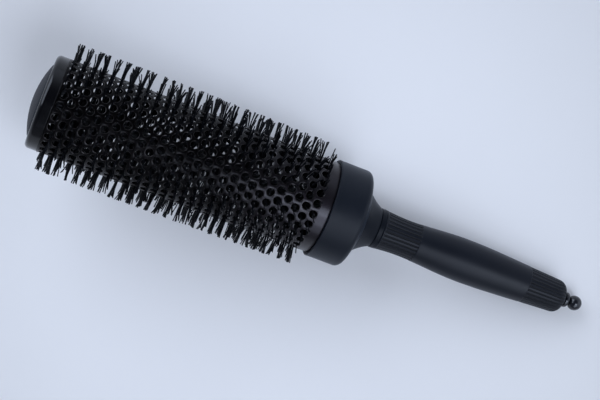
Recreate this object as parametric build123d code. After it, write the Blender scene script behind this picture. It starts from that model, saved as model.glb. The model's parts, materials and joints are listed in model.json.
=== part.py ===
from build123d import *
from build123d import SkipClean
import math
import os

# Round barrel brush. The axis is X, the handle points to +X and the bristled barrel to -X.
# The origin is on the axis, at the collar's front face. Sizes are in mm, angles in degrees.

# ---- barrel: a thin tube with staggered rings of round holes
BARREL_DIAMETER = 43.0
BARREL_WALL = 0.5
HOLE_DIAMETER = 3.4
HOLES_PER_RING = 27
HOLE_RINGS = 29
HOLE_TURN = -1.6         # angle of the first hole, from +Z towards -Y
RING_PITCH = 4.24
BARE_BAND = 5.2          # plain barrel between the collar and the first holes
TIP_BAND = 1.0           # plain barrel between the last holes and the end cap
BARREL_INSERTION = 9.0   # length of barrel held inside the collar

# ---- bristles: strands bound round the stem, one through a hole
BRISTLE_HEIGHT = 8.0     # how far the tips stand out from the barrel
STRAND_WIDTH = 0.7
STRAND_LEAN = 2.0        # largest lean along the axis
LEAN_STEP = 137.5        # how the lean varies from strand to strand
ROOT_DIAMETER = 7.4      # the packed roots round the stem
RINGS_PER_BUNCH = 5
HOLE_CYCLE = 5           # of this many neighbouring holes ...
STRANDS_PER_CYCLE = 3    # ... this many carry a strand
CYCLE_SHIFT = 2          # the pattern moves on by this many holes from ring to ring

# ---- stem, with its washer and nut at the tip
STEM_DIAMETER = 3.0
WASHER_DIAMETER = 7.0
WASHER_THICKNESS = 0.5
NUT_ACROSS_FLATS = 5.5
NUT_THICKNESS = 1.8
STEM_PROTRUSION = 0.4    # stem beyond the nut

# ---- end cap and the domed disc in its face
CAP_LENGTH = 5.7
CAP_ROUND = 2.0
CAP_WEB = 2.0
SPIGOT_WALL = 1.5
SPIGOT_SETBACK = 0.2     # the spigot ends this far short of the last holes
CAP_RIM = 4.9            # width of the cap's face round the disc
DISC_SEAT_DEPTH = 1.5
DISC_EDGE = 0.3          # how far the disc's rim stands out of the cap's face
DISC_WALL = 1.8
DOME_CLEARANCE = 0.6     # between the stem's end and the dome that covers it

# ---- collar
COLLAR_WALL = 1.35       # round the barrel
COLLAR_LENGTH = 15.4     # to the corner where the cylinder would meet the rear cone
COLLAR_CONE = 3.0        # length of the rear cone
COLLAR_ROUND = 2.5

# ---- plug inside the barrel's handle end
PLUG_LENGTH = 8.0
PLUG_WEB = 3.0
PLUG_WALL = 1.8
BOSS_DIAMETER = 7.5
BOSS_LENGTH = 8.5
BOSS_FLOOR = 1.5         # material behind the stem's end

# ---- screws that hold the plug to the handle core
SCREWS = 3
SCREW_INSET = 3.4        # from the neck's outside to the screws' axes
SCREW_DIAMETER = 2.9
SCREW_LENGTH = 9.0
SCREW_HEAD_DIAMETER = 5.4
SCREW_HEAD_HEIGHT = 1.9
SCREW_RECESS_DIAMETER = 2.2
SCREW_RECESS_DEPTH = 1.1
SCREW_HOLE_MARGIN = 0.6  # hole beyond the screw's end

# ---- handle core: flange, neck, flare and spine
FLANGE_STEP = 3.5        # from the barrel's outside in to the flange's
FLANGE_THICKNESS = 3.0
NECK_STEP = 3.3          # from the flange's outside in to the neck's
FLARE_LENGTH = 7.8
FLARE_HOLLOW = 0.4       # how far the flare's curve dips under a straight cone
SPINE_DIAMETER = 13.0

# ---- band ring between the neck and the grip
BAND_WALL = 2.8
BAND_WIDTH = 2.5
GROOVE_CHAMFER = 0.3     # the chamfers that meet in each groove

# ---- grip sleeve, with its wall over the spine at distances from its front edge
GRIP_LENGTH = 94.2
GRIP_FRONT_WALL = 2.7
GRIP_WAIST_WALL = 2.1
GRIP_WAIST_AT = 10.3
GRIP_BELLY_WALL = 3.4
GRIP_BELLY_AT = 35.3
GRIP_TAPER_WALL = 2.6
GRIP_TAPER_AT = 67.4
GRIP_TAIL_WALL = 1.35
GRIP_END_WALL = 3.5
GRIP_END_FLAT = 0.75     # flat ring between the ferrule's hole and the rounded rear corner
FLUTES = 30
FLUTE_WIDTH = 0.85
FLUTE_DEPTH = 0.35
FRONT_FLUTE_LENGTH = 18.0
REAR_FLUTE_LENGTH = 19.1
REAR_FLUTE_GAP = 1.0     # from the flutes' ends to the grip's end

# ---- retractable pick
PICK_TRAVEL = 60.0
PICK_DIAMETER = 3.0
PICK_STOP_WALL = 0.9
PICK_STOP_LENGTH = 3.0
KNOB_DIAMETER = 7.0
KNOB_SOCKET_FLOOR = 2.2  # solid knob beyond the rod's end
TUBE_WALL = 0.4
TUBE_MARGIN = 2.0        # tube beyond the stop when the pick is in
FERRULE_SHANK = 14.0
FERRULE_LIP = 0.65       # how far the head overlaps the grip's end
FERRULE_HEAD = 3.0       # the part that shows behind the handle
FERRULE_ROUND = 1.3
O_RING_THICKNESS = 1.0   # the ring whose friction holds the pick
O_RING_SETBACK = 1.2     # from the ferrule's face to the ring

# ---- clearances
SEAT_CLEARANCE = 0.05    # between pieces that are glued, pressed or screwed together
BARREL_CLEARANCE = 0.15  # between barrel and collar, the dark line at the collar's edge
PLUG_CLEARANCE = 0.1
SLIDE_CLEARANCE = 0.1    # stop in tube
ROD_CLEARANCE = 0.05     # rod in ferrule
PRESS_CLEARANCE = 0.025  # stop and knob on the rod
O_RING_CLEARANCE = 0.02  # rod in the O-ring
REST_GAP = 0.1           # knob to ferrule, and stop to ferrule at full travel

# ---- radii that follow
BARREL_RADIUS = BARREL_DIAMETER / 2
BARREL_BORE = BARREL_RADIUS - BARREL_WALL
BRISTLE_TIP = BARREL_RADIUS + BRISTLE_HEIGHT
STEM_RADIUS = STEM_DIAMETER / 2
STEM_SEAT = STEM_RADIUS + SEAT_CLEARANCE
ROOT_RADIUS = ROOT_DIAMETER / 2
DISC_RADIUS = BARREL_RADIUS - CAP_RIM
BARREL_SEAT = BARREL_RADIUS + BARREL_CLEARANCE
COLLAR_RADIUS = BARREL_SEAT + COLLAR_WALL
PLUG_RADIUS = BARREL_BORE - PLUG_CLEARANCE
FLANGE_RADIUS = BARREL_RADIUS - FLANGE_STEP
NECK_RADIUS = FLANGE_RADIUS - NECK_STEP
SCREW_CIRCLE_RADIUS = NECK_RADIUS - SCREW_INSET
SPINE_RADIUS = SPINE_DIAMETER / 2
SPINE_SEAT = SPINE_RADIUS + SEAT_CLEARANCE
BAND_RADIUS = SPINE_SEAT + BAND_WALL
PICK_RADIUS = PICK_DIAMETER / 2
PICK_SEAT = PICK_RADIUS + PRESS_CLEARANCE
STOP_RADIUS = PICK_SEAT + PICK_STOP_WALL
TUBE_BORE = STOP_RADIUS + SLIDE_CLEARANCE
TUBE_RADIUS = TUBE_BORE + TUBE_WALL
HANDLE_BORE = TUBE_RADIUS + SEAT_CLEARANCE
KNOB_RADIUS = KNOB_DIAMETER / 2
O_RING_SECTION = O_RING_THICKNESS / 2
O_RING_MIDDLE = PICK_RADIUS + O_RING_CLEARANCE + O_RING_SECTION

# ---- stations along the axis that follow
FIRST_RING_X = -(BARE_BAND + HOLE_DIAMETER / 2)
LAST_RING_X = FIRST_RING_X - (HOLE_RINGS - 1) * RING_PITCH
BARREL_TIP_X = LAST_RING_X - HOLE_DIAMETER / 2 - TIP_BAND
CAP_FACE_X = BARREL_TIP_X - CAP_LENGTH
SEAT_X = CAP_FACE_X + DISC_SEAT_DEPTH
WASHER_X = SEAT_X - WASHER_THICKNESS
NUT_X = WASHER_X - NUT_THICKNESS
STEM_TIP_X = NUT_X - STEM_PROTRUSION
FLANGE_X = BARREL_INSERTION
STEM_ROOT_X = FLANGE_X - BOSS_FLOOR
PLUG_WEB_X = FLANGE_X - PLUG_WEB
LEDGE_X = FLANGE_X + FLANGE_THICKNESS
COLLAR_REAR_X = COLLAR_LENGTH + COLLAR_CONE
BAND_X = COLLAR_REAR_X + FLARE_LENGTH
GRIP_X = BAND_X + BAND_WIDTH
GRIP_END_X = GRIP_X + GRIP_LENGTH
SPINE_END_X = GRIP_END_X - GRIP_END_WALL
FERRULE_X = GRIP_END_X - FERRULE_SHANK
FERRULE_FACE_X = GRIP_END_X + FERRULE_HEAD
O_RING_X = FERRULE_FACE_X - O_RING_SETBACK - O_RING_SECTION
STOP_FACE_X = FERRULE_X - REST_GAP - PICK_TRAVEL
STOP_X = STOP_FACE_X - PICK_STOP_LENGTH
TUBE_X = STOP_X - TUBE_MARGIN
KNOB_X = FERRULE_FACE_X + REST_GAP + KNOB_RADIUS
ROD_END_X = KNOB_X + KNOB_RADIUS - KNOB_SOCKET_FLOOR


def turned(points, rounds=None):
    """Turn an outline of (x, radius) points about the axis. rounds maps a corner's index to its radius."""
    rounds = rounds or {}
    corners = [Vector(x, radius) for x, radius in points]
    edges = []
    starts = []
    ends = []
    for index, corner in enumerate(corners):
        into = (corners[index - 1] - corner).normalized()
        out = (corners[(index + 1) % len(corners)] - corner).normalized()
        if index not in rounds:
            starts.append(corner)
            ends.append(corner)
            continue
        half_angle = math.radians(into.get_angle(out)) / 2
        reach = rounds[index] / math.tan(half_angle)
        bisector = (into + out).normalized()
        nearest = bisector * (rounds[index] / math.sin(half_angle) - rounds[index])
        starts.append(corner + into * reach)
        ends.append(corner + out * reach)
        edges.append(ThreePointArc(starts[-1], corner + nearest, ends[-1]))
    for index in range(len(corners)):
        edges.append(Line(ends[index - 1], starts[index]))
    return revolve(make_face(edges), Axis.X)


def ring(x_low, x_high, outer, inner=0.0):
    """A plain tube, or a rod where the inner radius is 0."""
    return turned([(x_low, inner), (x_high, inner), (x_high, outer), (x_low, outer)])


def around(count, radius, solid):
    """Copies of a solid at even angles about the axis, each moved out to the radius."""
    return [Rot(X=360 / count * index) * Pos(0, 0, radius) * solid for index in range(count)]


def along_axis(x_low, x_high, section):
    """Extrude a sketch, drawn in the YZ plane about the axis, from one station to the other."""
    return extrude(Plane.YZ.offset(x_low) * section, x_high - x_low)


# ---- barrel and bristles

def hole_frame(ring_index, hole_index):
    """Where a hole is: local Z is its axis, pointing outwards, from a point on the brush's axis."""
    stagger = 0.5 * (ring_index % 2)
    angle = HOLE_TURN + 360 / HOLES_PER_RING * (hole_index + stagger)
    return Pos(FIRST_RING_X - RING_PITCH * ring_index, 0, 0) * Rot(X=angle)


def holed_slice(tip_side, handle_side):
    """A slice of the barrel, with a ring of holes at x = 0 and that much wall to either side of it."""
    tube = ring(-tip_side, handle_side, BARREL_RADIUS, BARREL_BORE)
    drill = Cylinder(HOLE_DIAMETER / 2, 4 * BARREL_WALL)
    return tube.cut(*around(HOLES_PER_RING, BARREL_RADIUS, drill))


def barrel():
    half_pitch = RING_PITCH / 2
    last_ring = HOLE_RINGS - 1
    handle_slice = holed_slice(half_pitch, BARREL_INSERTION - FIRST_RING_X)
    middle_slice = holed_slice(half_pitch, half_pitch)
    tip_slice = holed_slice(LAST_RING_X - BARREL_TIP_X, half_pitch)
    middle_slices = [hole_frame(ring_index, 0) * middle_slice for ring_index in range(1, last_ring)]
    # The slices stay unmerged, so the seams between them remain as edges.
    with SkipClean():
        return (hole_frame(0, 0) * handle_slice).fuse(*middle_slices, hole_frame(last_ring, 0) * tip_slice)


def strand(ring_index, hole_index):
    """One strand, from inside the packed roots, through the middle of its hole, to the trimmed tip."""
    root = (STEM_RADIUS + ROOT_RADIUS) / 2
    bar = Box(
        STRAND_WIDTH, STRAND_WIDTH, BRISTLE_TIP - root, align=(Align.CENTER, Align.CENTER, Align.MIN)
    )
    turn = LEAN_STEP * (ring_index * HOLES_PER_RING + hole_index)
    lean = STRAND_LEAN * math.sin(math.radians(turn))
    leaning = Pos(0, 0, BARREL_RADIUS) * Rot(Y=lean) * Pos(0, 0, root - BARREL_RADIUS)
    return hole_frame(ring_index, hole_index) * leaning * bar


def has_strand(ring_index, hole_index):
    return (hole_index + CYCLE_SHIFT * (ring_index + 1)) % HOLE_CYCLE < STRANDS_PER_CYCLE


def bristle_bunch(first_ring, last_ring):
    """The strands of some neighbouring rings, with the slice of packed roots that holds them."""
    x_high = FIRST_RING_X - RING_PITCH * (first_ring - 0.5)
    x_low = FIRST_RING_X - RING_PITCH * (last_ring + 0.5)
    roots = ring(x_low, x_high, ROOT_RADIUS, STEM_SEAT)
    strands = [
        strand(ring_index, hole_index)
        for ring_index in range(first_ring, last_ring + 1)
        for hole_index in range(HOLES_PER_RING)
        if has_strand(ring_index, hole_index)
    ]
    return roots.fuse(*strands)


def stem_rod():
    return ring(STEM_TIP_X, STEM_ROOT_X, STEM_RADIUS)


def stem_washer():
    return ring(WASHER_X, SEAT_X, WASHER_DIAMETER / 2, STEM_SEAT)


def stem_nut():
    hexagon = RegularPolygon(NUT_ACROSS_FLATS / 2, 6, major_radius=False)
    return along_axis(NUT_X, WASHER_X, hexagon - Circle(STEM_SEAT))


# ---- end cap

def end_cap():
    cavity = PLUG_RADIUS - SPIGOT_WALL
    spigot_x = BARREL_TIP_X + TIP_BAND - SPIGOT_SETBACK
    disc_seat = DISC_RADIUS + SEAT_CLEARANCE
    web_x = SEAT_X + CAP_WEB
    outline = [
        (CAP_FACE_X, disc_seat),
        (CAP_FACE_X, BARREL_RADIUS),
        (BARREL_TIP_X, BARREL_RADIUS),
        (BARREL_TIP_X, PLUG_RADIUS),
        (spigot_x, PLUG_RADIUS),
        (spigot_x, cavity),
        (web_x, cavity),
        (web_x, STEM_SEAT),
        (SEAT_X, STEM_SEAT),
        (SEAT_X, disc_seat),
    ]
    return turned(outline, {1: CAP_ROUND})


def dome_curve(radius, edge, apex_x):
    """An arc of that radius from the axis at apex_x out to a point at the edge's distance from the axis."""
    half_turn = math.asin(edge / radius) / 2
    middle = (apex_x + radius * (1 - math.cos(half_turn)), radius * math.sin(half_turn))
    end = (apex_x + radius * (1 - math.cos(2 * half_turn)), edge)
    return ThreePointArc((apex_x, 0), middle, end)


def tip_disc():
    """A thin domed disc. The dome clears the stem's end, and its rim stands on the cap's seat."""
    rim_x = CAP_FACE_X - DISC_EDGE
    inner_apex_x = STEM_TIP_X - DOME_CLEARANCE
    apex_x = inner_apex_x - DISC_WALL
    crown = rim_x - apex_x
    dome_radius = (DISC_RADIUS ** 2 + crown ** 2) / (2 * crown)
    outside = dome_curve(dome_radius, DISC_RADIUS, apex_x)
    inside = dome_curve(dome_radius - DISC_WALL, DISC_RADIUS - DISC_WALL, inner_apex_x)
    outline = [
        outside,
        Polyline(outside @ 1, (SEAT_X, DISC_RADIUS), (SEAT_X, DISC_RADIUS - DISC_WALL), inside @ 1),
        inside,
        Line(inside @ 0, outside @ 0),
    ]
    return revolve(make_face(outline), Axis.X)


# ---- collar, plug and neck screws

def collar():
    flange_seat = FLANGE_RADIUS + SEAT_CLEARANCE
    neck_seat = NECK_RADIUS + SEAT_CLEARANCE
    outline = [
        (0, BARREL_SEAT),
        (0, COLLAR_RADIUS),
        (COLLAR_LENGTH, COLLAR_RADIUS),
        (COLLAR_REAR_X, neck_seat),
        (LEDGE_X, neck_seat),
        (LEDGE_X, flange_seat),
        (FLANGE_X, flange_seat),
        (FLANGE_X, BARREL_SEAT),
    ]
    return turned(outline, {2: COLLAR_ROUND})


def screw_holes(x_low, x_high):
    hole = ring(x_low, x_high, SCREW_DIAMETER / 2 + SEAT_CLEARANCE)
    return around(SCREWS, SCREW_CIRCLE_RADIUS, hole)


def barrel_plug():
    boss_x = FLANGE_X - BOSS_LENGTH
    skirt = ring(FLANGE_X - PLUG_LENGTH, FLANGE_X, PLUG_RADIUS, PLUG_RADIUS - PLUG_WALL)
    web = ring(PLUG_WEB_X, FLANGE_X, PLUG_RADIUS)
    boss = ring(boss_x, FLANGE_X, BOSS_DIAMETER / 2)
    stem_socket = ring(boss_x, STEM_ROOT_X, STEM_SEAT)
    return (skirt + web + boss).cut(stem_socket, *screw_holes(PLUG_WEB_X, FLANGE_X))


def neck_screws():
    head_x = PLUG_WEB_X - SCREW_HEAD_HEIGHT
    shank = ring(PLUG_WEB_X, PLUG_WEB_X + SCREW_LENGTH, SCREW_DIAMETER / 2)
    head = ring(head_x, PLUG_WEB_X, SCREW_HEAD_DIAMETER / 2)
    hexagon = RegularPolygon(SCREW_RECESS_DIAMETER / 2, 6)
    recess = along_axis(head_x, head_x + SCREW_RECESS_DEPTH, hexagon)
    return Compound(children=around(SCREWS, SCREW_CIRCLE_RADIUS, shank + head - recess))


# ---- handle

def handle_core():
    """Flange, neck and flare, then a spine through the grip, bored from its rear end for the pick's tube."""
    flare_end = (BAND_X - GROOVE_CHAMFER, BAND_RADIUS)
    outline = [
        Polyline(
            (TUBE_X, 0),
            (FLANGE_X, 0),
            (FLANGE_X, FLANGE_RADIUS),
            (LEDGE_X, FLANGE_RADIUS),
            (LEDGE_X, NECK_RADIUS),
            (COLLAR_REAR_X, NECK_RADIUS),
        ),
        SagittaArc((COLLAR_REAR_X, NECK_RADIUS), flare_end, -FLARE_HOLLOW),
        Polyline(
            flare_end,
            (BAND_X, BAND_RADIUS - GROOVE_CHAMFER),
            (BAND_X, SPINE_RADIUS),
            (SPINE_END_X, SPINE_RADIUS),
            (SPINE_END_X, HANDLE_BORE),
            (TUBE_X, HANDLE_BORE),
            (TUBE_X, 0),
        ),
    ]
    body = revolve(make_face(outline), Axis.X)
    screw_end_x = PLUG_WEB_X + SCREW_LENGTH + SCREW_HOLE_MARGIN
    return body.cut(*screw_holes(FLANGE_X, screw_end_x))


def band_ring():
    outline = [
        (BAND_X, SPINE_SEAT),
        (GRIP_X, SPINE_SEAT),
        (GRIP_X, BAND_RADIUS - GROOVE_CHAMFER),
        (GRIP_X - GROOVE_CHAMFER, BAND_RADIUS),
        (BAND_X + GROOVE_CHAMFER, BAND_RADIUS),
        (BAND_X, BAND_RADIUS - GROOVE_CHAMFER),
    ]
    return turned(outline)


def grip_body(inset=0.0):
    """The grip without flutes. inset draws its outside in, to where the flutes' floors are."""
    outside = SPINE_SEAT - inset
    front = (GRIP_X + GROOVE_CHAMFER, outside + GRIP_FRONT_WALL)
    waist = (GRIP_X + GRIP_WAIST_AT, outside + GRIP_WAIST_WALL)
    belly = (GRIP_X + GRIP_BELLY_AT, outside + GRIP_BELLY_WALL)
    taper = (GRIP_X + GRIP_TAPER_AT, outside + GRIP_TAPER_WALL)
    end_edge = HANDLE_BORE + GRIP_END_FLAT
    corner_x = GRIP_END_X - (SPINE_SEAT + GRIP_TAIL_WALL - end_edge)
    corner = GRIP_END_X - inset - corner_x
    tail = (corner_x, end_edge + corner)
    corner_middle = (corner_x + corner * math.sqrt(0.5), end_edge + corner * math.sqrt(0.5))
    corner_end = (GRIP_END_X - inset, end_edge)
    outline = [
        Polyline((GRIP_X, SPINE_SEAT), (GRIP_X, outside + GRIP_FRONT_WALL - GROOVE_CHAMFER), front),
        Spline(front, waist, belly, taper, tail),
        ThreePointArc(tail, corner_middle, corner_end),
        Polyline(
            corner_end,
            (GRIP_END_X - inset, HANDLE_BORE),
            (SPINE_END_X, HANDLE_BORE),
            (SPINE_END_X, SPINE_SEAT),
            (GRIP_X, SPINE_SEAT),
        ),
    ]
    return revolve(make_face(outline), Axis.X)


def grip_sleeve():
    reach = SPINE_SEAT + GRIP_BELLY_WALL
    from_axis = (Align.MIN, Align.CENTER, Align.MIN)
    front_slot = Pos(GRIP_X, 0, 0) * Box(FRONT_FLUTE_LENGTH, FLUTE_WIDTH, reach, align=from_axis)
    rear_x = GRIP_END_X - REAR_FLUTE_GAP - REAR_FLUTE_LENGTH
    rear_slot = Pos(rear_x, 0, 0) * Box(REAR_FLUTE_LENGTH, FLUTE_WIDTH, reach, align=from_axis)
    inside = grip_body(FLUTE_DEPTH) + ring(GRIP_X, GRIP_END_X, SPINE_SEAT)
    flutes = [
        flute
        for slot in (front_slot, rear_slot)
        for flute in around(FLUTES, 0, slot - inside)
    ]
    return grip_body().cut(*flutes)


# ---- pick

def pick_tube():
    return ring(TUBE_X, FERRULE_X, TUBE_RADIUS, TUBE_BORE)


def pick_ferrule():
    shank = HANDLE_BORE - SEAT_CLEARANCE
    head = HANDLE_BORE + FERRULE_LIP
    bore = PICK_RADIUS + ROD_CLEARANCE
    outline = [
        (FERRULE_X, bore),
        (FERRULE_X, shank),
        (GRIP_END_X, shank),
        (GRIP_END_X, head),
        (FERRULE_FACE_X, head),
        (FERRULE_FACE_X, bore),
    ]
    half_width = O_RING_SECTION + SEAT_CLEARANCE
    groove = ring(O_RING_X - half_width, O_RING_X + half_width, O_RING_MIDDLE + half_width)
    return turned(outline, {4: FERRULE_ROUND}) - groove


def pick_o_ring():
    return Pos(O_RING_X, 0, 0) * Rot(Y=90) * Torus(O_RING_MIDDLE, O_RING_SECTION)


def pick_rod():
    return ring(STOP_X, ROD_END_X, PICK_RADIUS)


def pick_stop():
    return ring(STOP_X, STOP_FACE_X, STOP_RADIUS, PICK_SEAT)


def pick_knob():
    socket = ring(FERRULE_FACE_X, ROD_END_X, PICK_SEAT)
    return Pos(KNOB_X, 0, 0) * Rot(Y=90) * Sphere(KNOB_RADIUS) - socket


# ---- the brush

def brush():
    pieces = {
        "barrel": barrel(),
        "end_cap": end_cap(),
        "tip_disc": tip_disc(),
        "stem_rod": stem_rod(),
        "stem_washer": stem_washer(),
        "stem_nut": stem_nut(),
        "barrel_plug": barrel_plug(),
        "collar": collar(),
        "neck_screws": neck_screws(),
        "handle_core": handle_core(),
        "band_ring": band_ring(),
        "grip_sleeve": grip_sleeve(),
        "pick_tube": pick_tube(),
        "pick_ferrule": pick_ferrule(),
        "pick_o_ring": pick_o_ring(),
        "pick_rod": pick_rod(),
        "pick_stop": pick_stop(),
        "pick_knob": pick_knob(),
    }
    for number, first_ring in enumerate(range(0, HOLE_RINGS, RINGS_PER_BUNCH), start=1):
        last_ring = min(first_ring + RINGS_PER_BUNCH, HOLE_RINGS) - 1
        pieces[f"bristle_bunch_{number}"] = bristle_bunch(first_ring, last_ring)
    return pieces


os.makedirs("parts", exist_ok=True)
for name, piece in brush().items():
    export_step(piece, f"parts/{name}.step")
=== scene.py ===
import json
import math
import random

import bmesh
import bpy
import numpy as np
from mathutils import Matrix, Vector

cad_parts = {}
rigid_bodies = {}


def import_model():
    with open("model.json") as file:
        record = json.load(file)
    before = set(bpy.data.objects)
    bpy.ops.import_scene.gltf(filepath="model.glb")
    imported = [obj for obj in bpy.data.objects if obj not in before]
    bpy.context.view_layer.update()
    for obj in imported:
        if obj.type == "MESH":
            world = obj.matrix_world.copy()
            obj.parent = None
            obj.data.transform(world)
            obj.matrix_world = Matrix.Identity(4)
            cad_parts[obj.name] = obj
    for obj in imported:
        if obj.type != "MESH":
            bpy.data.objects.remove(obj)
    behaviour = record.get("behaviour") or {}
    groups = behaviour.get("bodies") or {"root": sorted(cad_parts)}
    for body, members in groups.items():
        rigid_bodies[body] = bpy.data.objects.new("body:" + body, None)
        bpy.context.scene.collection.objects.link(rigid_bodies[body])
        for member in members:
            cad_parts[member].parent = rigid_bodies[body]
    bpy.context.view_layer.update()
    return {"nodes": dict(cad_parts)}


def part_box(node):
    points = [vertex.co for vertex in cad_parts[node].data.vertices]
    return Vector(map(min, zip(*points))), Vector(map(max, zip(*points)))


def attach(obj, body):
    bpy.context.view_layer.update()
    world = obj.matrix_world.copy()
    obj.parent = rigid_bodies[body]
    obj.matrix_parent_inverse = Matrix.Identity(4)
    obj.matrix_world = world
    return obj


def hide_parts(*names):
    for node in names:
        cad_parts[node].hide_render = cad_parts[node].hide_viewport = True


# Round barrel brush. Everything is in metres in the model's own frame: the axis is X, the handle
# points to +X and the origin is on the axis at the collar's front face.

for leftover in list(bpy.data.objects):
    bpy.data.objects.remove(leftover)
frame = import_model()

MM = 0.001
TURN = 2 * math.pi
nodes = frame["nodes"]


# ---- the picture: where the camera stands, and how the brush lies on the table

AXIS_LEAN = math.radians(10.45)      # the tip is nearer the camera: the axis leans by this much
AXIS_SLANT = math.radians(20.8)      # how far the axis slopes down across the picture
TABLE_LEAN = math.radians(9.6)       # the brush rests on its bristles and on the handle's end
CAMERA_DISTANCE = 633.8 * MM
AIM_X = -10.7 * MM                   # the point of the axis that the picture is centred on
AIM_OFFSET = -0.5 * MM               # how far that point lies from the picture's middle, across the axis
LENS = 84.0
SENSOR = 36.0

forward = Vector((math.sin(AXIS_LEAN), 0, -math.cos(AXIS_LEAN)))
right = Vector((
    math.cos(AXIS_SLANT) * math.cos(AXIS_LEAN),
    math.sin(AXIS_SLANT),
    math.cos(AXIS_SLANT) * math.sin(AXIS_LEAN),
))
down = forward.cross(right)
table_up = Vector((-math.sin(TABLE_LEAN), 0, math.cos(TABLE_LEAN)))

aim = Vector((AIM_X, 0, 0))
across = -math.sin(AXIS_SLANT) * right + math.cos(AXIS_SLANT) * down
middle = aim - across * AIM_OFFSET
eye = middle - forward * CAMERA_DISTANCE


def facing(direction, upward):
    """A rotation whose -Z looks along the direction and whose Y is as near upward as can be."""
    back = -direction.normalized()
    side = upward.cross(back).normalized()
    return Matrix((side, back.cross(side), back)).transposed().to_quaternion()


def add_camera():
    data = bpy.data.cameras.new("camera")
    data.lens = LENS
    data.sensor_width = SENSOR
    data.clip_start = 0.01
    data.clip_end = 20.0
    camera = bpy.data.objects.new("camera", data)
    camera.rotation_mode = "QUATERNION"
    camera.rotation_quaternion = facing(forward, -down)
    camera.location = eye
    bpy.context.scene.collection.objects.link(camera)
    bpy.context.scene.camera = camera


add_camera()
bpy.context.scene.view_settings.view_transform = "Standard"


# ---- shader maths

class Shade:
    """A shader socket that sums and products work on; each step adds its node to the tree."""

    def __init__(self, tree, socket=None):
        self.tree = tree
        self.socket = socket

    def node(self, kind, settings=None, values=None, output=0):
        """Add any node: its settings, then the numbers or links of its sockets."""
        made = self.tree.nodes.new(kind)
        for name, setting in (settings or {}).items():
            setattr(made, name, setting)
        for name, value in (values or {}).items():
            if isinstance(value, Shade):
                self.tree.links.new(value.socket, made.inputs[name])
            else:
                made.inputs[name].default_value = value
        return Shade(self.tree, made.outputs[output])

    def maths(self, operation, *terms):
        """The node for an operation on numbers, or on vectors where any term is one."""
        vectors = any(isinstance(t, Shade) and t.socket.type == "VECTOR" for t in terms)
        kind = "ShaderNodeVectorMath" if vectors else "ShaderNodeMath"
        output = 1 if operation in ("DOT_PRODUCT", "LENGTH") else 0
        return self.node(kind, {"operation": operation}, dict(enumerate(terms)), output)

    def __add__(self, other):
        return self.maths("ADD", self, other)

    __radd__ = __add__

    def __sub__(self, other):
        return self.maths("SUBTRACT", self, other)

    def __rsub__(self, other):
        return self.maths("SUBTRACT", other, self)

    def __mul__(self, other):
        return self.maths("MULTIPLY", self, other)

    __rmul__ = __mul__

    def between(self, low, high):
        """0 below the first number, 1 above the second, and smooth between them."""
        values = {"Value": self, "From Min": low, "From Max": high}
        return self.node("ShaderNodeMapRange", {"interpolation_type": "SMOOTHSTEP"}, values)

    def mix(self, low, high):
        """One colour where this is 0 and the other where it is 1."""
        values = {0: self, 6: colour_of(low), 7: colour_of(high)}
        settings = {"data_type": "RGBA", "clamp_factor": True}
        return self.node("ShaderNodeMix", settings, values, output=2)

    def noise(self, size, detail, roughness):
        """Clouds of about that size in metres, with this vector as the place."""
        values = {"Vector": self, "Scale": 1 / size, "Detail": detail, "Roughness": roughness}
        return self.node("ShaderNodeTexNoise", None, values)

    def stretched(self, along, across_y, across_z):
        """The place with each of its axes scaled, so that noise there is drawn out."""
        return self.maths("MULTIPLY", self, (along, across_y, across_z))


def colour_of(value):
    """A colour for a socket: a shade as it is, and three numbers with the fourth that it wants."""
    return value if isinstance(value, Shade) else (*value, 1.0)


def finish(name, fixed, paint):
    """A material: its fixed sockets, and a function that gives what changes over its surface."""
    material = bpy.data.materials.new(name)
    material.use_nodes = True
    tree = material.node_tree
    surface = tree.nodes["Principled BSDF"]
    for socket, value in fixed.items():
        surface.inputs[socket].default_value = value
    start = Shade(tree)
    place = start.node("ShaderNodeTexCoord", output=3)
    for socket, value in paint(start, place).items():
        tree.links.new(value.socket, surface.inputs[socket])
    return material


def bumped(start, height, depth):
    """A normal for a height that runs from 0 to 1 over that depth in metres."""
    return start.node("ShaderNodeBump", None, {"Distance": depth, "Height": height})


def attribute(start, name):
    """A number that the mesh carries on its vertices."""
    return start.node("ShaderNodeAttribute", {"attribute_name": name}, output=2)


# ---- finishes

def paint_barrel(start, place):
    """Satin lacquer on aluminium, painted darker in the pierced part as the tufts' shade, and worn off the
    holes' edges.
    """
    clouds = place.noise(14 * MM, 3.0, 0.6)
    drawn = place.stretched(1.0, 0.08, 0.08).noise(0.25 * MM, 2.0, 0.6)
    specks = place.noise(0.35 * MM, 2.0, 0.7)
    rim = attribute(start, "rim")
    along = place.node("ShaderNodeSeparateXYZ", None, {"Vector": place})
    # Painted shade of the tufts: 0 towards the tip, where the coat is darker and has less gloss, rising to
    # 1 by the bare band.
    clear_of_tuft_shade = along.between(-62 * MM, -4 * MM)
    patches = clouds.between(0.3, 0.75)
    plain = patches.mix((0.0180, 0.0150, 0.0185), (0.0250, 0.0205, 0.0240))
    # Painted shade: the darker coat that stands in for the shade of the tufts.
    tuft_shaded_coat = patches.mix((0.0026, 0.0022, 0.0026), (0.0050, 0.0042, 0.0046))
    coat = clear_of_tuft_shade.mix(tuft_shaded_coat, plain)
    metal = (rim * specks.between(0.20, 0.55)).mix(coat, (0.070, 0.064, 0.063))
    height = 0.6 * drawn + 0.4 * specks
    return {
        "Base Color": metal,
        "Roughness": 0.34 + 0.12 * clouds + 0.10 * specks - 0.16 * rim,
        "Coat Weight": 0.14 + (0.32 + 0.50 * rim) * clear_of_tuft_shade,
        "Normal": bumped(start, height, 0.008 * MM),
    }


def paint_nylon(start, place):
    """Each strand has its own tone and gloss, which vary a little along it."""
    own = attribute(start, "strand")
    dull = place.noise(1.2 * MM, 2.0, 0.5)
    return {
        "Base Color": own.mix((0.0008, 0.0011, 0.0020), (0.0024, 0.0030, 0.0048)),
        "Roughness": 0.30 + 0.14 * own + 0.10 * dull,
    }


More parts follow.
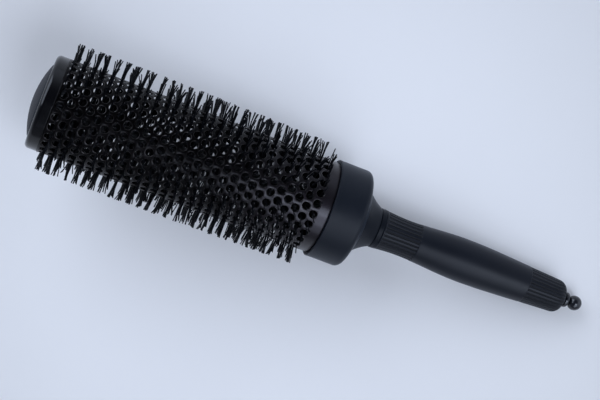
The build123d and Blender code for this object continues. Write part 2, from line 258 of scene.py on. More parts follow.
def soft_touch(clean, rubbed_pale, dust_tone):
    """Soft-touch lacquer over plastic: very fine grain, and wide patches that hands have rubbed."""
    def paint(start, place):
        grain = place.noise(0.12 * MM, 3.0, 0.65)
        rubbed = place.noise(17 * MM, 3.0, 0.55)
        dust = place.noise(0.9 * MM, 2.0, 0.7)
        tone = rubbed.between(0.3, 0.72).mix(clean, rubbed_pale)
        return {
            "Base Color": (dust.between(0.62, 0.85) * 0.35).mix(tone, dust_tone),
            "Roughness": 0.36 + 0.10 * rubbed + 0.06 * grain,
            "Normal": bumped(start, grain, 0.012 * MM),
        }
    return paint


paint_collar = soft_touch((0.0046, 0.0067, 0.0112), (0.0058, 0.0080, 0.0130), (0.012, 0.014, 0.018))
paint_neck = soft_touch((0.0010, 0.0024, 0.0056), (0.0018, 0.0034, 0.0070), (0.007, 0.009, 0.014))


def paint_grip(start, place):
    """Fine-grained rubber that hands have rubbed, with painted shade darkening it down in the flutes, which
    are duller too.
    """
    grain = place.noise(0.16 * MM, 3.0, 0.6)
    rubbed = place.noise(22 * MM, 3.0, 0.55)
    groove = attribute(start, "groove")
    tone = rubbed.between(0.3, 0.72).mix((0.0007, 0.0019, 0.0054), (0.0013, 0.0028, 0.0070))
    # Painted shade: the colour is darker down in the flutes.
    deep = groove.mix(tone, (0.0007, 0.0012, 0.0024))
    return {
        "Base Color": deep,
        "Roughness": 0.36 + 0.10 * rubbed + 0.06 * grain + 0.15 * groove,
        "Normal": bumped(start, grain, 0.014 * MM),
    }


def paint_cap(start, place):
    """Smooth moulding with a soft gloss that clouds over here and there."""
    grain = place.noise(0.14 * MM, 3.0, 0.6)
    clouds = place.noise(12 * MM, 3.0, 0.55)
    return {
        "Base Color": clouds.between(0.3, 0.7).mix((0.0013, 0.0013, 0.0020), (0.0022, 0.0021, 0.0030)),
        "Roughness": 0.12 + 0.06 * clouds + 0.03 * grain,
        "Normal": bumped(start, grain, 0.004 * MM),
    }


def paint_disc(start, place):
    """Spark-textured moulding: an even, fine pebble over the whole dome."""
    pebbles = place.node("ShaderNodeTexVoronoi", None, {"Vector": place, "Scale": 1 / (0.45 * MM)})
    grain = place.noise(0.2 * MM, 3.0, 0.6)
    clouds = place.noise(10 * MM, 3.0, 0.55)
    height = 0.6 * pebbles + 0.4 * grain
    return {
        "Base Color": clouds.between(0.3, 0.7).mix((0.0026, 0.0038, 0.0078), (0.0042, 0.0058, 0.0116)),
        "Roughness": 0.44 + 0.14 * grain + 0.06 * clouds,
        "Normal": bumped(start, height, 0.05 * MM),
    }


def paint_gloss(start, place):
    """Polished moulding with faint swirls from wiping."""
    clouds = place.noise(3 * MM, 3.0, 0.5)
    swirls = place.noise(0.3 * MM, 2.0, 0.6)
    return {
        "Base Color": clouds.between(0.3, 0.7).mix((0.0060, 0.0070, 0.0095), (0.011, 0.012, 0.016)),
        "Roughness": 0.09 + 0.10 * clouds + 0.05 * swirls,
        "Normal": bumped(start, swirls, 0.002 * MM),
    }


def paint_steel(start, place):
    """Bright steel with drawing lines along the axis."""
    drawn = place.stretched(0.06, 1.0, 1.0).noise(0.12 * MM, 3.0, 0.6)
    clouds = place.noise(4 * MM, 3.0, 0.5)
    return {
        "Base Color": clouds.between(0.3, 0.7).mix((0.42, 0.43, 0.45), (0.52, 0.53, 0.55)),
        "Roughness": 0.20 + 0.10 * clouds + 0.12 * drawn,
        "Normal": bumped(start, drawn, 0.004 * MM),
    }


def paint_brass(start, place):
    """Brass with turning lines round the axis."""
    turned = place.stretched(1.0, 0.1, 0.1).noise(0.1 * MM, 2.0, 0.6)
    clouds = place.noise(2 * MM, 3.0, 0.5)
    return {
        "Base Color": clouds.between(0.3, 0.7).mix((0.52, 0.36, 0.15), (0.62, 0.46, 0.21)),
        "Roughness": 0.24 + 0.12 * clouds,
        "Normal": bumped(start, turned, 0.004 * MM),
    }


def paint_inner(start, place):
    """Plain matt moulding for what stays inside."""
    grain = place.noise(0.2 * MM, 3.0, 0.6)
    clouds = place.noise(8 * MM, 3.0, 0.5)
    return {
        "Base Color": clouds.between(0.3, 0.7).mix((0.020, 0.020, 0.022), (0.030, 0.030, 0.033)),
        "Roughness": 0.50 + 0.12 * grain,
        "Normal": bumped(start, grain, 0.01 * MM),
    }


def paint_seal(start, place):
    grain = place.noise(0.1 * MM, 3.0, 0.6)
    return {
        "Base Color": grain.between(0.3, 0.7).mix((0.010, 0.010, 0.011), (0.018, 0.018, 0.019)),
        "Roughness": 0.62 + 0.12 * grain,
        "Normal": bumped(start, grain, 0.006 * MM),
    }


def paint_table(start, place):
    """A pale matt sheet with a painted pool of light: palest round the brush and painted greyer away from
    it.
    """
    fibres = place.noise(0.7 * MM, 4.0, 0.6)
    clouds = place.noise(180 * MM, 3.0, 0.5)
    from_middle = place - tuple(PAINTED_POOL_MIDDLE)
    # Painted light: the sheet is painted greyer with distance from the brush, as a pool of light round it.
    far = from_middle.maths("LENGTH", from_middle).between(60 * MM, 240 * MM)
    pale = clouds.between(0.35, 0.65).mix((0.860, 0.840, 0.820), (0.885, 0.864, 0.844))
    return {
        "Base Color": far.mix(pale, (0.705, 0.688, 0.668)),
        "Roughness": 0.55 + 0.10 * fibres,
        "Normal": bumped(start, fibres, 0.01 * MM),
    }


SHINE = "Specular IOR Level"
SOFT_SHEEN = {"Sheen Weight": 0.04, "Sheen Roughness": 0.45, "Sheen Tint": (0.55, 0.72, 1.0, 1.0)}
COATED_METAL = {"Metallic": 1.0, "Coat Roughness": 0.20}

FINISHES = {
    "barrel_metal": finish("satin_coated_aluminium", COATED_METAL, paint_barrel),
    "bristle_nylon": finish("black_nylon", {SHINE: 0.20}, paint_nylon),
    "collar_soft_touch": finish("soft_touch_lacquer", {SHINE: 0.20, **SOFT_SHEEN}, paint_collar),
    "handle_plastic": finish("soft_touch_neck", {SHINE: 0.17, **SOFT_SHEEN}, paint_neck),
    "grip_rubber": finish("grip_rubber", {SHINE: 0.28, **SOFT_SHEEN}, paint_grip),
    "cap_plastic": finish("satin_cap_plastic", {SHINE: 0.41}, paint_cap),
    "disc_plastic": finish("textured_disc_plastic", {SHINE: 0.27}, paint_disc),
    "gloss_black": finish("gloss_black_plastic", {SHINE: 0.55}, paint_gloss),
    "steel": finish("drawn_steel", {"Metallic": 1.0}, paint_steel),
    "brass": finish("turned_brass", {"Metallic": 1.0}, paint_brass),
    "inner_plastic": finish("inner_plastic", {}, paint_inner),
    "seal_rubber": finish("seal_rubber", {}, paint_seal),
}


# ---- meshes turned about the axis

ROUND_STEPS = 5          # mesh steps round each rounded corner
SUPPORT = 0.12 * MM      # an extra loop this far from each rounded corner keeps the flat parts flat
AROUND = 180             # mesh steps round the axis


def rounded(corners):
    """The points of a closed outline, from rounded corners of (x, radius, rounding) in mm."""
    points = []
    for index, (x, radius, rounding) in enumerate(corners):
        here = Vector((x, radius)) * MM
        into = (Vector(corners[index - 1][:2]) * MM - here).normalized()
        out = (Vector(corners[(index + 1) % len(corners)][:2]) * MM - here).normalized()
        half = into.angle(out) / 2
        reach = rounding * MM / math.tan(half)
        centre = here + (into + out).normalized() * (rounding * MM / math.sin(half))
        first = here + into * reach - centre
        last = here + out * reach - centre
        bend = math.pi - 2 * half
        points.append(here + into * (reach + SUPPORT))
        for step in range(ROUND_STEPS + 1):
            turn = bend * step / ROUND_STEPS
            arm = (first * math.sin(bend - turn) + last * math.sin(turn)) / math.sin(bend)
            points.append(centre + arm)
        points.append(here + out * (reach + SUPPORT))
    return points


def new_piece(name, vertices, faces, slot, replaced, sharp=35.0, marks=None):
    """A closed mesh as a piece that rides on the brush and stands for the CAD node it replaces."""
    mesh = bpy.data.meshes.new(name)
    mesh.from_pydata([tuple(v) for v in vertices], [], [tuple(f) for f in faces])
    for mark, values in (marks or {}).items():
        layer = mesh.attributes.new(mark, "FLOAT", "POINT")
        layer.data.foreach_set("value", np.asarray(values, np.float32))
    solid = bmesh.new()
    solid.from_mesh(mesh)
    bmesh.ops.recalc_face_normals(solid, faces=solid.faces)
    solid.to_mesh(mesh)
    solid.free()
    mesh.shade_smooth()
    mesh.set_sharp_from_angle(angle=math.radians(sharp))
    mesh.materials.append(FINISHES[slot])
    piece = bpy.data.objects.new(name, mesh)
    bpy.context.scene.collection.objects.link(piece)
    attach(piece, "brush")
    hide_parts(replaced)


def bridge(one, two):
    """The faces between two loops that have as many vertices."""
    count = len(one)
    return [
        (one[step], one[(step + 1) % count], two[(step + 1) % count], two[step]) for step in range(count)
    ]


def about_axis(x, angle, radius):
    """A point at that angle about the axis, from +Z towards -Y."""
    return (x, -radius * math.sin(angle), radius * math.cos(angle))


def spin(points, around=AROUND):
    """Vertices and faces of an outline turned about the axis. A point on the axis is one vertex."""
    vertices = []
    rows = []
    for x, radius in points:
        if radius < 1e-9:
            rows.append([len(vertices)] * around)
            vertices.append((x, 0, 0))
            continue
        rows.append(list(range(len(vertices), len(vertices) + around)))
        vertices += [about_axis(x, TURN * step / around, radius) for step in range(around)]
    faces = []
    for row, after in zip(rows, rows[1:] + rows[:1]):
        for corners in bridge(row, after):
            face = [corner for index, corner in enumerate(corners) if corner != corners[index - 1]]
            if len(face) > 2:
                faces.append(face)
    return vertices, faces


# ---- barrel: a thin tube with staggered rings of holes whose edges are rolled in

HOLES = 27
RINGS = 29
PITCH = 4.24 * MM
FIRST_RING = -6.9 * MM
PATTERN_TURN = math.radians(-1.6)
HOLE = 1.7 * MM           # radius
WALL = 0.5 * MM
CELL_STEPS = 6            # mesh steps across a hole's cell, round the barrel
LOOP = 20                 # mesh steps round a hole
ROLL = 0.38 * MM          # each hole's outer edge is rolled in by this much, over ROLL_DEPTH
ROLL_DEPTH = 0.40 * MM
RIM_WEAR = (0.0, 1.0, 0.7, 0.0)   # how far the coat has worn off at each step of the roll
END_EASE = 0.1 * MM       # the edges of the barrel's ends are eased by this much

barrel_low, barrel_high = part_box("barrel")
BARREL = barrel_high.z
BORE = BARREL - WALL


def hole_angle(ring, hole):
    """The angle of a hole's axis, from +Z towards -Y."""
    return TURN / HOLES * (hole + 0.5 * (ring % 2)) + PATTERN_TURN


def ring_x(ring):
    return FIRST_RING - PITCH * ring


def hole_profile():
    """Loops of a hole's edge from the outer skin in: distance from its axis, barrel radius and wear."""
    loops = []
    for step, wear in enumerate(RIM_WEAR):
        turn = TURN / 4 * step / (len(RIM_WEAR) - 1)
        out = ROLL * (1 - math.sin(turn))
        sink = ROLL_DEPTH * (1 - math.cos(turn))
        loops.append((HOLE + out, BARREL - sink, wear))
    return loops + [(HOLE, BORE, 0.0)]


def make_barrel():
    vertices = []
    rim = []
    faces = []
    skins = (BARREL, BORE)
    steps = HOLES * CELL_STEPS
    half = CELL_STEPS // 2

    def add(x, angle, radius, wear=0.0):
        vertices.append(about_axis(x, angle, radius))
        rim.append(wear)
        return len(vertices) - 1

    def full_ring(x, radius):
        return [add(x, PATTERN_TURN + TURN * step / steps, radius) for step in range(steps)]

    # Each skin has a full ring of vertices between two rings of holes, and a few between two holes.
    edges = [[full_ring(ring_x(ring - 0.5), radius) for ring in range(RINGS + 1)] for radius in skins]
    sides = [
        {
            (ring, hole, row): add(ring_x(ring) + row * PITCH / 4, hole_angle(ring, hole + 0.5), radius)
            for ring in range(RINGS) for hole in range(HOLES) for row in (-1, 0, 1)
        }
        for radius in skins
    ]

    def cell_border(skin, ring, hole):
        """The vertices round a hole's cell, from its side towards +angle, turning towards +X."""
        first = hole * CELL_STEPS + (half if ring % 2 else 0)
        near = [edges[skin][ring][(first + k) % steps] for k in range(half, -half - 1, -1)]
        far = [edges[skin][ring + 1][(first + k) % steps] for k in range(-half, half + 1)]
        ahead = [sides[skin][ring, hole, row] for row in (0, 1)]
        behind = [sides[skin][ring, (hole - 1) % HOLES, row] for row in (1, 0, -1)]
        return ahead + near + behind + far + [sides[skin][ring, hole, -1]]

    for ring in range(RINGS):
        for hole in range(HOLES):
            centre = hole_angle(ring, hole)
            loops = [cell_border(0, ring, hole)]
            for reach, radius, wear in hole_profile():
                loop = []
                for step in range(LOOP):
                    angle = TURN * step / LOOP
                    sideways = math.asin(reach * math.cos(angle) / radius)
                    x = ring_x(ring) + reach * math.sin(angle)
                    loop.append(add(x, centre + sideways, radius, wear))
                loops.append(loop)
            loops.append(cell_border(1, ring, hole))
            for one, two in zip(loops, loops[1:]):
                faces += bridge(one, two)

    def end_rings(end, inward):
        """The rings of an end's eased edges, from the outer skin round to the bore."""
        outline = [
            (end + inward * END_EASE, BARREL), (end, BARREL - END_EASE),
            (end, BORE + END_EASE), (end + inward * END_EASE, BORE),
        ]
        return [full_ring(x, radius) for x, radius in outline]

    for eased, row in ((end_rings(barrel_high.x, -1), 0), (end_rings(barrel_low.x, 1), RINGS)):
        chain = [edges[0][row], *eased, edges[1][row]]
        for one, two in zip(chain, chain[1:]):
            faces += bridge(one, two)
    new_piece(
        "barrel_shell", vertices, faces, "barrel_metal", "barrel", sharp=50.0, marks={"rim": rim},
    )


# ---- bristles: straight nylon strands in loose tufts, bound round the stem and trimmed level

# The strands are bound to the stem in two blades of a screw. Those in a hole come from the blade that is
# nearest to it.
SCREW_LEAD = 8.62 * MM
SCREW_START = FIRST_RING
WANDER = 0.55 * MM        # how far the blades stray from a true screw
HOLE_REACH = 1.00 * MM    # how far off a hole's middle the strands may pass
SQUEEZE = 0.6             # a tuft's width along the axis, as a share of its width round the barrel
APART_TRIES = 6           # places tried for each strand, of which the one farthest from the others stays
RINGS_PER_BUNCH = 5
BUNCHES = 6
HOLES_BY_STRANDS = (4, 8, 18, 28, 25, 17)    # of 100 holes, how many hold none, one, two ... five
STRAND_COUNTS = [strands for strands, holes in enumerate(HOLES_BY_STRANDS) for _ in range(holes)]

STRAND_SIDES = 6
STRAND_RADII = (0.23 * MM, 0.30 * MM)
ROOT_THINNING = 0.5       # a strand's width at its root, as a share of its full width
ROOT_START = 3.2 * MM     # from the axis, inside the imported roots
ROOT_SPREAD = 0.20 * MM   # along the axis
ROOT_STRAY = 0.12 * MM    # across it
TUFT_LEAN = 0.55 * MM     # how far a tuft's tips typically lean along the axis
STRAND_LEAN = 0.45 * MM   # and each strand of it by itself, along and across
FANNING = 0.6             # the tips spread across by this share more than at the hole

TRIM = 29.0 * MM          # from the axis to the trimmed tips, at the handle's end
TRIM_SWELL = 0.45 * MM    # they stand out further by up to this much, most of all nearer to the cap
SWELL_TURN = 2.2          # along a sine, in radians from the handle's end to the cap
TRIM_LOSS = (0.0, 0.25 * MM)   # least and most that a strand falls short of them
SHORT_SHARE = 0.06        # this share of the strands is cut shorter
SHORT_LOSS = (0.3 * MM, 1.2 * MM)

ROOTS = 3.7 * MM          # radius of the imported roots
STEM_SEAT = 1.55 * MM     # radius of the stem that they sit on
ROOT_SIDES = 24
ROOT_STEP = 0.7 * MM      # of the mesh along the axis
ROOT_TWIST = 1.5 * MM     # how far along the axis the spiral's ridges turn by half a radian
ROOT_RIDGE = 0.10         # half of the ridges' height, as a share of the roots' radius
ROOT_TONE = 0.3


def spread_out(draw, count):
    """Places for the strands in a hole, kept apart from each other."""
    chosen = []
    for _ in range(count):
        tries = []
        for _ in range(APART_TRIES):
            angle = draw.uniform(0, TURN)
            out = HOLE_REACH * math.sqrt(draw.random())
            tries.append((SQUEEZE * out * math.cos(angle), out * math.sin(angle)))
        chosen.append(max(tries, key=lambda p: min((math.dist(p, q) for q in chosen), default=0.0)))
    return chosen


def blade_offset(ring, angle, wander):
    """How far along the axis the nearest blade of strands is from a hole's middle."""
    spacing = SCREW_LEAD / 2
    blade = SCREW_START - SCREW_LEAD * angle / TURN
    size, phase = wander
    return (blade - ring_x(ring) + spacing / 2) % spacing - spacing / 2 + size * math.sin(angle + phase)


def strand_line(draw, ring, hole, place, wander, lean):
    """The middle of one strand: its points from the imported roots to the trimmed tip."""
    angle = hole_angle(ring, hole)
    outward = Vector(about_axis(0, angle, 1))
    sideways = Vector(about_axis(0, angle + TURN / 4, 1))
    along = Vector((1, 0, 0))
    blade = blade_offset(ring, angle, wander)
    root_x = ring_x(ring) + blade + draw.gauss(0, ROOT_SPREAD)
    pass_x = ring_x(ring) + max(-HOLE_REACH, min(HOLE_REACH, blade + place[0]))
    root = along * root_x + outward * ROOT_START + sideways * draw.gauss(0, ROOT_STRAY)
    hole_point = along * pass_x + sideways * place[1] + outward * BARREL
    way = (hole_point - root) / (BARREL - ROOT_START)
    loss = SHORT_LOSS if draw.random() < SHORT_SHARE else TRIM_LOSS
    height = TRIM + TRIM_SWELL * math.sin(SWELL_TURN * ring / (RINGS - 1)) - draw.uniform(*loss)
    bend = along * (lean + draw.gauss(0, STRAND_LEAN))
    bend += sideways * (draw.gauss(0, STRAND_LEAN) + FANNING * place[1])
    free = way * (height - BARREL)
    tip = hole_point + free + bend
    trim = height / math.hypot(tip.y, tip.z)
    half_way = hole_point + free * 0.5 + bend * 0.3
    return [root, hole_point, half_way, Vector((tip.x, tip.y * trim, tip.z * trim))]


def add_strand(draw, line, vertices, faces, own):
    """A strand with flat sides along its middle line, closed at the root and at the tip."""
    thick = draw.uniform(*STRAND_RADII)
    tone = draw.random()
    turned = draw.uniform(0, TURN)
    way = (line[-1] - line[0]).normalized()
    side = way.cross(Vector((1, 0, 0))).normalized()
    other = way.cross(side)
    rows = []
    for point in line:
        width = thick if rows else thick * ROOT_THINNING
        rows.append(range(len(vertices), len(vertices) + STRAND_SIDES))
        for step in range(STRAND_SIDES):
            angle = turned + TURN * step / STRAND_SIDES
            vertices.append(point + (side * math.cos(angle) + other * math.sin(angle)) * width)
            own.append(tone)
    for row, after in zip(rows, rows[1:]):
        faces += bridge(row, after)
    faces += [tuple(rows[0]), tuple(rows[-1])]


def make_tufts(bunch, draw):
    vertices = []
    faces = []
    own = []
    first_ring = bunch * RINGS_PER_BUNCH
    last_ring = min(first_ring + RINGS_PER_BUNCH, RINGS) - 1
    for ring in range(first_ring, last_ring + 1):
        wander = (draw.gauss(0, 1) * WANDER, draw.uniform(0, TURN))
        for hole in range(HOLES):
            count = draw.choice(STRAND_COUNTS)
            lean = draw.gauss(0, TUFT_LEAN)
            for place in spread_out(draw, count):
                line = strand_line(draw, ring, hole, place, wander, lean)
                add_strand(draw, line, vertices, faces, own)
    add_roots(vertices, faces, own, ring_x(last_ring + 0.5), ring_x(first_ring - 0.5))
    new_piece(
        f"tufts_{bunch + 1}", vertices, faces, "bristle_nylon", f"bristle_bunch_{bunch + 1}",
        sharp=60.0, marks={"strand": own},
    )


def add_roots(vertices, faces, own, low, high):
    """The strands' folded ends, packed into a spiral round the stem."""
    steps = max(8, int((high - low) / ROOT_STEP))
    profile = [(low, STEM_SEAT)]
    profile += [(low + (high - low) * step / steps, None) for step in range(steps + 1)]
    profile += [(high, STEM_SEAT)]
    rows = []
    for x, radius in profile:
        rows.append(range(len(vertices), len(vertices) + ROOT_SIDES))
        for step in range(ROOT_SIDES):
            angle = TURN * step / ROOT_SIDES
            ridge = ROOT_RIDGE * math.cos(2 * angle + x / ROOT_TWIST)
            vertices.append(Vector(about_axis(x, angle, radius or ROOTS * (1 - ROOT_RIDGE + ridge))))
            own.append(ROOT_TONE)
    for row, after in zip(rows, rows[1:] + rows[:1]):
        faces += bridge(row, after)


# ---- end cap and domed disc: sizes in mm, and corners of (x, radius, rounding)

STEM_BORE = 1.55
CAP_ROUND = 2.0
CAP_WALL = 1.5
CAP_FLOOR = 2.0
CAP_FIT = 0.1            # the cap's spigot is this much smaller than the barrel's bore
DISC_DEPTH = 1.5         # how deep the disc is let into the cap's face
DISC_FIT = 0.05
DISC_WALL = 1.8
DISC_STEP = 0.3          # the disc's edge stands this far proud of the cap's face
DISC_LIP = 0.16          # how far that edge is rounded
DOME_STEPS = 26

cap_low, cap_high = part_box("end_cap")
disc_low, disc_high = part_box("tip_disc")


def make_cap():
    face = cap_low.x / MM
    joint = barrel_low.x / MM
    inside = cap_high.x / MM
    skin = BARREL / MM
    spigot = BORE / MM - CAP_FIT
    cavity = spigot - CAP_WALL
    seat = face + DISC_DEPTH
    floor = seat + CAP_FLOOR
    disc = disc_high.z / MM + DISC_FIT
    corners = [
        (face, disc, 0.12), (face, skin, CAP_ROUND), (joint, skin, 0.1), (joint, spigot, 0.05),
        (inside, spigot, 0.1), (inside, cavity, 0.1), (floor, cavity, 0.3),
        (floor, STEM_BORE, 0.1), (seat, STEM_BORE, 0.05), (seat, disc, 0.05),
    ]
    new_piece("cap_shell", *spin(rounded(corners)), "cap_plastic", "end_cap")


def arc(radius, edge, apex):
    """Points of a dome from its rim, that far from the axis, in to its apex on the axis."""
    points = []
    for step in range(DOME_STEPS + 1):
        turn = math.asin(edge / radius) * (1 - step / DOME_STEPS)
        points.append((apex + radius * (1 - math.cos(turn)), radius * math.sin(turn)))
    return points


def make_disc():
    edge = disc_high.z / MM
    apex = disc_low.x / MM
    seat = disc_high.x / MM
    rim = cap_low.x / MM - DISC_STEP
    crown = rim - apex
    dome = (edge ** 2 + crown ** 2) / (2 * crown)
    outside = arc(dome, edge - 2 * DISC_LIP, apex)
    inside = arc(dome - DISC_WALL, edge - DISC_WALL, apex + DISC_WALL)
    points = [
        (seat, edge - DISC_WALL), (seat, edge), (rim + 1.1 * DISC_LIP, edge),
        (rim + 0.35 * DISC_LIP, edge - 0.30 * DISC_LIP), (rim + 0.02, edge - 1.1 * DISC_LIP),
        *outside, *reversed(inside),
    ]
    new_piece("disc_shell", *spin([Vector(p) * MM for p in points]), "disc_plastic", "tip_disc", sharp=40.0)


# ---- collar, band ring and grip: sizes in mm

COLLAR_CONE = 3.0        # length of the cone behind the collar's corner
COLLAR_ROUND = 2.5
COLLAR_WALL = 1.35       # round the barrel
COLLAR_NECK = 14.75      # radius of the hole for the handle's neck
BARREL_DEPTH = 9.0       # how far the barrel goes into the collar
PLUG_DEPTH = 12.0        # and the plug behind it
PLUG_BORE = 18.05
SPINE = 6.55             # radius of the handle's rod, which the band ring and the grip sit on
BAND_EASE = 0.3

GRIP_STATIONS = (0.3, 10.3, 35.3, 67.4, 90.025)   # along the grip, and its wall over the spine there
GRIP_WALLS = (2.7, 2.1, 3.4, 2.6, 1.35)
GRIP_STEPS = 150
GRIP_END_BEND = 4.175    # radius of the rounding at the grip's end
GRIP_END_FLAT = 3.725    # radius where that rounding meets the flat end
GRIP_END_STEPS = 12
GRIP_BORE = 2.975
GRIP_END_WALL = 3.5
GRIP_LIP = 0.3           # depth of the front edge below the grip's outside

FLUTES = 30
FLUTE_STEPS = 14
FLUTE_DEPTH = 0.38
FLUTE_WIDTH = 0.95
FLUTE_HOLLOW = 0.6       # below 1 for a flatter bottom and steeper sides
FLUTE_EDGE = 4.0         # the flutes narrow towards the axis up to this radius
FLUTE_ENDS = 0.3         # the flutes rise to the smooth part over twice this length
RIDGE_DROP = 0.10        # the fluted parts lie this far under the smooth part
FRONT_FLUTES = (0.9, 18.0)    # from the grip's front edge
REAR_FLUTES = (20.1, 1.0)     # from its end
FINE_STEP = 0.12         # of the mesh where flutes begin and end

_, collar_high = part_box("collar")
band_low, band_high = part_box("band_ring")
grip_low, grip_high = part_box("grip_sleeve")


def make_collar():
    out = collar_high.z / MM
    rear = collar_high.x / MM
    seat = out - COLLAR_WALL
    corners = [
        (0.0, seat, 0.15), (0.0, out, 0.35), (rear - COLLAR_CONE, out, COLLAR_ROUND),
        (rear, COLLAR_NECK, 0.25), (PLUG_DEPTH, COLLAR_NECK, 0.05), (PLUG_DEPTH, PLUG_BORE, 0.05),
        (BARREL_DEPTH, PLUG_BORE, 0.05), (BARREL_DEPTH, seat, 0.05),
    ]
    new_piece("collar_shell", *spin(rounded(corners), 240), "collar_soft_touch", "collar")


def make_band():
    out = band_high.z / MM
    low, high = band_low.x / MM, band_high.x / MM
    corners = [
        (low, SPINE, 0.05), (high, SPINE, 0.05), (high, out - BAND_EASE, 0.05),
        (high - BAND_EASE, out, 0.12), (low + BAND_EASE, out, 0.12), (low, out - BAND_EASE, 0.05),
    ]
    new_piece("band_shell", *spin(rounded(corners)), "handle_plastic", "band_ring")


def natural_slopes(x, y):
    """Slopes of the smooth curve through the points, which bends least."""
    count = len(x)
    matrix = np.zeros((count, count))
    known = np.zeros(count)
    gap = np.diff(x)
    rise = np.diff(y) / gap
    matrix[0, :2] = 2, 1
    known[0] = 3 * rise[0]
    matrix[-1, -2:] = 1, 2
    known[-1] = 3 * rise[-1]
    for i in range(1, count - 1):
        matrix[i, i - 1:i + 2] = gap[i], 2 * (gap[i - 1] + gap[i]), gap[i - 1]
        known[i] = 3 * (gap[i] * rise[i - 1] + gap[i - 1] * rise[i])
    return np.linalg.solve(matrix, known)


def cubic(x, y, slopes, at):
    """The height of that curve at one place."""
    i = min(max(int(np.searchsorted(x, at)) - 1, 0), len(x) - 2)
    gap = x[i + 1] - x[i]
    t = (at - x[i]) / gap
    return float(
        (1 + 2 * t) * (1 - t) ** 2 * y[i] + t * (1 - t) ** 2 * gap * slopes[i]
        + t ** 2 * (3 - 2 * t) * y[i + 1] + t ** 2 * (t - 1) * gap * slopes[i + 1]
    )


def ease_in(value, low, high):
    """0 below the first number, 1 above the second, and smooth between them."""
    t = min(max((value - low) / (high - low), 0.0), 1.0)
    return t * t * (3 - 2 * t)


def within(x, low, high):
    """1 in a fluted part and 0 outside it."""
    begun = ease_in(x, low - FLUTE_ENDS, low + FLUTE_ENDS)
    return begun * (1 - ease_in(x, high - FLUTE_ENDS, high + FLUTE_ENDS))


def make_grip():
    front = grip_low.x / MM
    end = grip_high.x / MM
    fluted_parts = [[front + x for x in FRONT_FLUTES], [end - x for x in REAR_FLUTES]]
    stations = np.array(GRIP_STATIONS)
    radii = np.array(GRIP_WALLS) + SPINE
    slopes = natural_slopes(stations, radii)
    along = np.linspace(stations[0], stations[-1], GRIP_STEPS)
    xs = np.array([front + x for x in along])
    rs = np.array([cubic(stations, radii, slopes, x) for x in along])
    borders = (*fluted_parts[0], fluted_parts[1][0])
    fine = [border + step * FINE_STEP for border in borders for step in range(-5, 6)]
    skin = [(x, float(np.interp(x, xs, rs))) for x in sorted({*xs, *fine}) if x >= xs[0]]
    for step in range(1, GRIP_END_STEPS + 1):
        turn = TURN / 4 * step / GRIP_END_STEPS
        x = end - GRIP_END_BEND + GRIP_END_BEND * math.sin(turn)
        skin.append((x, GRIP_END_FLAT + GRIP_END_BEND * math.cos(turn)))

    around = FLUTES * FLUTE_STEPS
    pitch = TURN / FLUTES
    vertices = []
    groove = []
    rows = []

    def add_row(x, radius, normal, fluted):
        rows.append(range(len(vertices), len(vertices) + around))
        for step in range(around):
            angle = TURN * step / around
            off = (angle / pitch + 0.5) % 1.0 - 0.5
            wide = abs(off) * pitch * max(radius, FLUTE_EDGE) / (FLUTE_WIDTH / 2)
            dip = max(0.0, 1 - wide ** 2) ** FLUTE_HOLLOW
            sink = fluted * (RIDGE_DROP + FLUTE_DEPTH * dip)
            sunk_x, sunk_radius = x - normal[0] * sink, radius - normal[1] * sink
            vertices.append(about_axis(sunk_x * MM, angle, sunk_radius * MM))
            groove.append(fluted * dip)

    for index, (x, radius) in enumerate(skin):
        before = Vector(skin[max(index - 1, 0)])
        after = Vector(skin[min(index + 1, len(skin) - 1)])
        way = (after - before).normalized()
        add_row(x, radius, (-way.y, way.x), max(within(x, *part) for part in fluted_parts))
    inner_end = end - GRIP_END_WALL
    hidden = [
        (end, GRIP_BORE), (inner_end, GRIP_BORE), (inner_end, SPINE), (front, SPINE),
        (front, rs[0] - GRIP_LIP),
    ]
    for x, radius in hidden:
        add_row(x, radius, (0, 0), 0.0)
    faces = []
    for row, after in zip(rows, rows[1:] + rows[:1]):
        faces += bridge(row, after)
    new_piece(
        "grip_fluted", vertices, faces, "grip_rubber", "grip_sleeve", sharp=50.0, marks={"groove": groove},
    )


# ---- ferrule and pick: sizes in mm

ROD_BORE = 1.55
SHANK = 2.925            # radius of the part inside the handle
FLANGE = 3.45            # of the thin rim that lies on the grip's end
WAIST = 3.05             # and of the groove between it and the head

ferrule_low, ferrule_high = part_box("pick_ferrule")


def make_ferrule():
    face = ferrule_high.x / MM
    head = ferrule_high.z / MM
    end = grip_high.x / MM
    low = ferrule_low.x / MM
    corners = [
        (low, ROD_BORE, 0.1), (low, SHANK, 0.2), (end, SHANK, 0.05), (end, FLANGE, 0.1),
        (end + 0.55, FLANGE, 0.1), (end + 0.62, WAIST, 0.08), (end + 0.85, WAIST, 0.08),
        (end + 0.95, head, 0.35), (face, head, 1.1), (face, ROD_BORE, 0.12),
    ]
    new_piece("ferrule_shell", *spin(rounded(corners), 96), "gloss_black", "pick_ferrule")


def dress_nodes():
    """The nodes that keep their own shape get the finish of their slot."""
    own_finish = {
        "stem_rod": "steel", "stem_washer": "steel", "stem_nut": "steel", "barrel_plug": "inner_plastic",
        "neck_screws": "steel", "handle_core": "handle_plastic", "pick_tube": "steel",
        "pick_o_ring": "seal_rubber", "pick_rod": "steel", "pick_stop": "brass", "pick_knob": "gloss_black",
    }
    for name, slot in own_finish.items():
        for place in nodes[name].material_slots:
            place.material = FINISHES[slot]


# ---- table, light and surroundings

REST = 27.65 * MM        # from the brush's axis to the table, which hides the tips of the lowest bristles
UNDER_BRUSH = (-190 * MM, 121 * MM)     # the table leans between these two x
LEVEL_FROM = (-270 * MM, 152 * MM)      # and bends to lie level beyond these, below cameras at the side
FINE_TABLE = (-0.30, 0.20, 126)         # its mesh lines near the brush: from, to and how many
WIDE_TABLE = [-3.0, -1.5, -0.7, 0.4, 0.8, 1.6, 3.0]
TABLE_EDGE = 3.0
PAINTED_POOL_MIDDLE = Vector((-20, -10, 0)) * MM    # the middle of the painted pool of light, where the table is palest
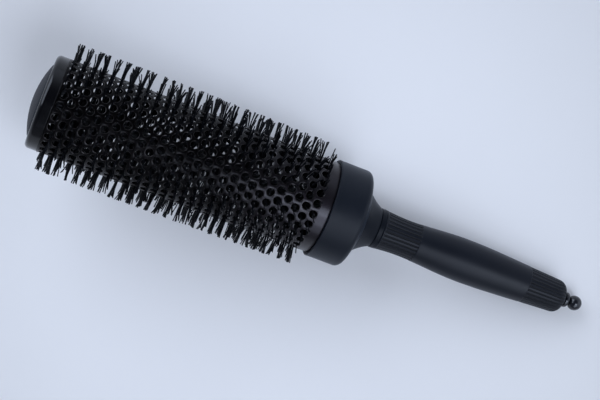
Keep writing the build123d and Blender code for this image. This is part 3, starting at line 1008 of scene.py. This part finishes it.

LIGHT_DISTANCE = 2.0
DAYLIGHT = (0.73, 0.82, 1.0)
WALLS_NEAR = 0.25        # how bright the walls are on the window's side
WALLS_FAR = 0.85         # and across the brush from it
CEILING = 0.05


def table_height(x):
    """Height of the table under the brush: it leans, and bends level to either side."""
    lean = math.tan(TABLE_LEAN)
    far, near = UNDER_BRUSH
    low_level, level = LEVEL_FROM
    height = -REST / math.cos(TABLE_LEAN) + lean * min(max(x, far), near)
    if x > near:
        t = min(x, level) - near
        height += lean * (t - t * t / (2 * (level - near)))
    if x < far:
        t = far - max(x, low_level)
        height -= lean * (t - t * t / (2 * (far - low_level)))
    return height


def make_table():
    xs = sorted({*(round(x, 4) for x in np.linspace(*FINE_TABLE)), *WIDE_TABLE})
    vertices = [(x, y, table_height(x)) for x in xs for y in (-TABLE_EDGE, TABLE_EDGE)]
    faces = [(2 * i, 2 * i + 2, 2 * i + 3, 2 * i + 1) for i in range(len(xs) - 1)]
    mesh = bpy.data.meshes.new("table")
    mesh.from_pydata(vertices, [], faces)
    mesh.shade_smooth()
    mesh.materials.append(finish("pale_table", {SHINE: 0.3}, paint_table))
    table = bpy.data.objects.new("table", mesh)
    bpy.context.scene.collection.objects.link(table)


def toward(along_axis, across_axis):
    """A direction from the brush: the camera's, tilted along the brush's axis and down across it."""
    flat_axis = right * math.cos(AXIS_SLANT) + down * math.sin(AXIS_SLANT)
    return (flat_axis * along_axis + across * across_axis - forward).normalized()


def add_soft_light(name, along_axis, across_axis, size, glow):
    """A wide soft panel, its long side along the brush. The glow is how bright the panel looks."""
    way = toward(along_axis, across_axis)
    data = bpy.data.lights.new(name, "AREA")
    data.shape = "RECTANGLE"
    data.size, data.size_y = size
    data.energy = glow * math.pi * data.size * data.size_y
    data.color = DAYLIGHT
    light = bpy.data.objects.new(name, data)
    light.location = middle + way * LIGHT_DISTANCE
    light.rotation_mode = "QUATERNION"
    light.rotation_quaternion = facing(-way, -across)
    light.visible_camera = False
    bpy.context.scene.collection.objects.link(light)


def light_brush():
    """A window off the handle's side with its blind and sill below it, and pale panels off both ends."""
    add_soft_light("window", 0.60, 0.21, (1.10, 0.60), 4.8)
    add_soft_light("window_blind", 0.66, 0.64, (1.10, 1.04), 3.1)
    add_soft_light("window_sill", 0.75, 1.50, (1.10, 0.85), 1.4)
    add_soft_light("tip_side_panel", -1.05, -0.60, (1.5, 2.2), 3.1)
    add_soft_light("hand_side_panel", 2.20, -0.10, (1.3, 2.8), 0.7)


def glowing(level):
    return tuple(level * channel for channel in DAYLIGHT)


def light_room():
    """Walls low down, pale on the far side from the window, and a dark ceiling overhead."""
    world = bpy.data.worlds.new("room")
    bpy.context.scene.world = world
    world.use_nodes = True
    tree = world.node_tree
    start = Shade(tree)
    way = start.node("ShaderNodeTexCoord", output=0)
    height = start.maths("DOT_PRODUCT", way, tuple(table_up))
    far_side = start.maths("DOT_PRODUCT", way, tuple(-across))
    walls = far_side.between(-0.7, 0.5).mix(glowing(WALLS_NEAR), glowing(WALLS_FAR))
    room = height.between(0.15, 0.90).mix(walls, glowing(CEILING))
    tree.links.new(room.socket, tree.nodes["Background"].inputs["Color"])


make_barrel()
draw = random.Random(27)
for bunch in range(BUNCHES):
    make_tufts(bunch, draw)
make_cap()
make_disc()
make_collar()
make_band()
make_grip()
make_ferrule()
dress_nodes()
make_table()
light_room()
light_brush()
